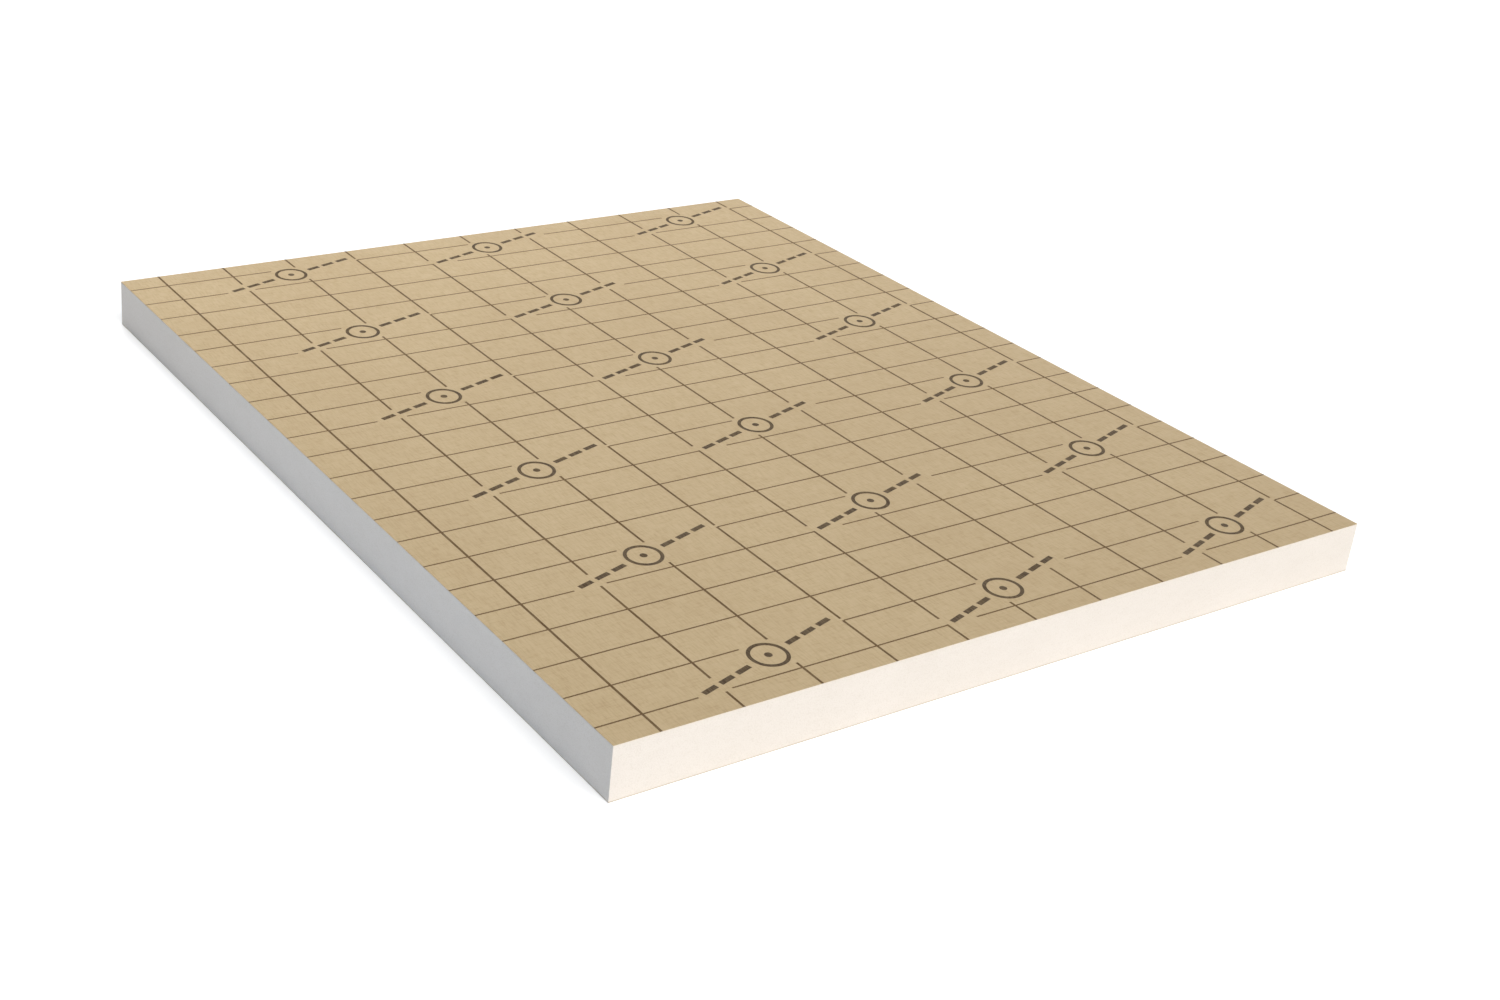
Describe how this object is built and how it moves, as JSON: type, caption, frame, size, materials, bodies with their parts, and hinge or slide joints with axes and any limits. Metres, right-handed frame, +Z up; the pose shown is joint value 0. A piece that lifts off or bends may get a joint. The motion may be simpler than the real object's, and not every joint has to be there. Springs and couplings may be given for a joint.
{
  "type": "pir insulation board",
  "caption": "Rigid rectangular PIR foam board with kraft paper facings and square-cut edges, printed with a setting-out grid.",
  "frame": {"origin": "middle of the underside, on the floor that the board lies on", "axes": "+X across the board along its short edges, +Y along its long edges, +Z up through its thickness towards the printed face"},
  "size_m": [1, 1.2, 0.06],
  "materials": {
    "foam": "closed-cell foam, cut and left raw",
    "printed_kraft": "matt kraft paper with a dark brown printed grid",
    "plain_kraft": "matt kraft paper, unprinted"
  },
  "bodies": {
    "root": {"foam_core": "foam", "top_facing": "printed_kraft", "bottom_facing": "plain_kraft"}
  },
  "joints": []
}
